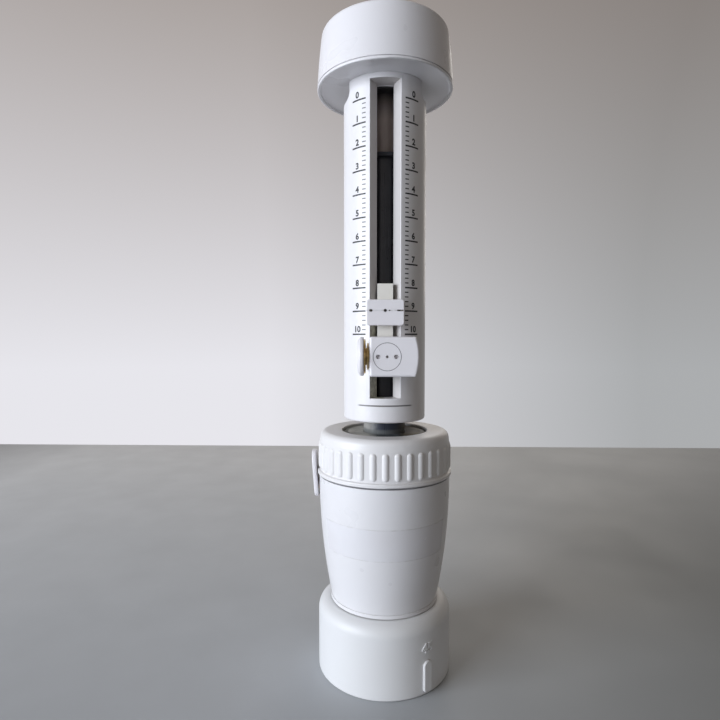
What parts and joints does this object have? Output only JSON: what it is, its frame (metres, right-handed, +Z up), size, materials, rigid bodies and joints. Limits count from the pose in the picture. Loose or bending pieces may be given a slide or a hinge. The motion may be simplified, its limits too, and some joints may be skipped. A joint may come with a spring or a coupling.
{
  "type": "bottle-top dispenser",
  "caption": "White bottle-top dispenser: ribbed locking ring, slotted scale sleeve with a clamped volume cursor, broad round plunger knob and a threaded bottle collar.",
  "frame": {"origin": "centre of the bottle collar's bottom face, on the axis of the bottle thread", "axes": "+Z up along the barrel towards the knob, -Y towards the scale slot and the cursor, +Y towards the delivery jet, +X to the right seen from the scale"},
  "size_m": [0.0581, 0.1262, 0.2607],
  "materials": {
    "collar_white": "satin moulded",
    "shell_white": "satin-gloss moulded",
    "ring_white": "satin moulded, ribbed grip",
    "sleeve_white": "satin, printed scale",
    "knob_white": "satin moulded",
    "cursor_white": "satin, faint lavender tint",
    "guard_black": "satin black",
    "seat_smoke": "polished dark smoke",
    "barrel_glass": "clear polished",
    "block_natural": "machined natural plastic",
    "seal_ptfe": "waxy white",
    "seal_rubber": "matt black",
    "valve_ceramic": "polished",
    "rod_taupe": "filled low-friction plastic, satin",
    "rod_steel": "ground",
    "brass": "turned, slightly tarnished",
    "jet_plastic": "translucent white",
    "cap_grey": "satin grey"
  },
  "bodies": {
    "collar": {"bottle_collar": "collar_white", "collar_gasket": "seal_ptfe"},
    "head": {"valve_block": "block_natural", "head_shell": "shell_white", "barrel_gasket": "seal_ptfe", "glass_barrel": "barrel_glass", "barrel_guard": "guard_black", "seat_ring": "seat_smoke", "inlet_nipple": "block_natural", "inlet_seat": "seal_ptfe", "inlet_cage": "block_natural", "outlet_seat": "seal_ptfe", "outlet_spring": "rod_steel", "outlet_union": "shell_white", "delivery_jet": "jet_plastic", "jet_sheath": "shell_white"},
    "inlet_valve": {"inlet_ball": "valve_ceramic"},
    "outlet_valve": {"outlet_ball": "valve_ceramic"},
    "jet_cap": {"tip_cap": "cap_grey"},
    "lever": {"valve_plug": "seal_ptfe", "plug_seals": "seal_rubber", "lever_paddle": "cursor_white"},
    "washer": {"slip_washer": "seal_ptfe"},
    "ring": {"locking_ring": "ring_white"},
    "plunger": {"scale_sleeve": "sleeve_white", "sleeve_bush": "guard_black", "knob_base": "knob_white", "knob_cap": "knob_white", "rod_nut": "rod_steel", "plunger_rod": "rod_taupe", "piston_head": "seal_ptfe", "piston_seals": "seal_ptfe"},
    "cursor": {"clamp_block": "cursor_white", "clamp_disc": "cursor_white", "thread_insert": "brass"},
    "cursor_foot": {"cursor_slider": "cursor_white", "pointer_plate": "cursor_white"},
    "screw_washer": {"thrust_washer": "brass"},
    "clamp_screw": {"clamp_screw_stud": "brass", "clamp_screw_head": "cursor_white"}
  },
  "joints": [
    {"name": "head_swivel", "type": "hinge", "parent": "collar", "child": "head", "pos_m": [0, 0, 0.0255], "axis": [0, 0, 1], "continuous": true},
    {"name": "inlet_lift", "type": "slide", "parent": "head", "child": "inlet_valve", "axis": [0, 0, 1], "range_m": [0, 0.0012]},
    {"name": "outlet_lift", "type": "slide", "parent": "head", "child": "outlet_valve", "axis": [0, 1, 0], "range_m": [0, 0.001], "deforming": ["outlet_spring"]},
    {"name": "jet_cap_pull", "type": "slide", "parent": "head", "child": "jet_cap", "axis": [0, 0, -1], "range_m": [0, 0.016]},
    {"name": "lever_turn", "type": "hinge", "parent": "head", "child": "lever", "pos_m": [-0.028, 0, 0.0745], "axis": [1, 0, 0], "range_deg": [0, 90]},
    {"name": "ring_lift", "type": "slide", "parent": "head", "child": "washer", "axis": [0, 0, 1], "range_m": [0, 0.0045]},
    {"name": "ring_turn", "type": "hinge", "parent": "washer", "child": "ring", "pos_m": [0, 0, 0.09], "axis": [0, 0, 1], "range_deg": [0, 540]},
    {"name": "plunger_lift", "type": "slide", "parent": "head", "child": "plunger", "axis": [0, 0, 1], "range_m": [0, 0.0811]},
    {"name": "cursor_slide", "type": "slide", "parent": "plunger", "child": "cursor", "axis": [0, 0, 1], "range_m": [-0.009, 0.0721]},
    {"name": "foot_draw", "type": "slide", "parent": "cursor", "child": "cursor_foot", "axis": [0, 1, 0], "range_m": [0, 0.00025]},
    {"name": "screw_advance", "type": "slide", "parent": "cursor", "child": "screw_washer", "axis": [1, 0, 0], "range_m": [-0.0006, 0]},
    {"name": "screw_turn", "type": "hinge", "parent": "screw_washer", "child": "clamp_screw", "pos_m": [-0.0081, -0.0232, 0.12986], "axis": [1, 0, 0], "range_deg": [-432, 0]}
  ],
  "couplings": [
    {"joint": "ring_lift", "follows": "ring_turn", "m_per_rad": 0.00047746},
    {"joint": "screw_advance", "follows": "screw_turn", "m_per_rad": 0.000079577},
    {"joint": "foot_draw", "follows": "screw_turn", "m_per_rad": -0.000033157}
  ]
}
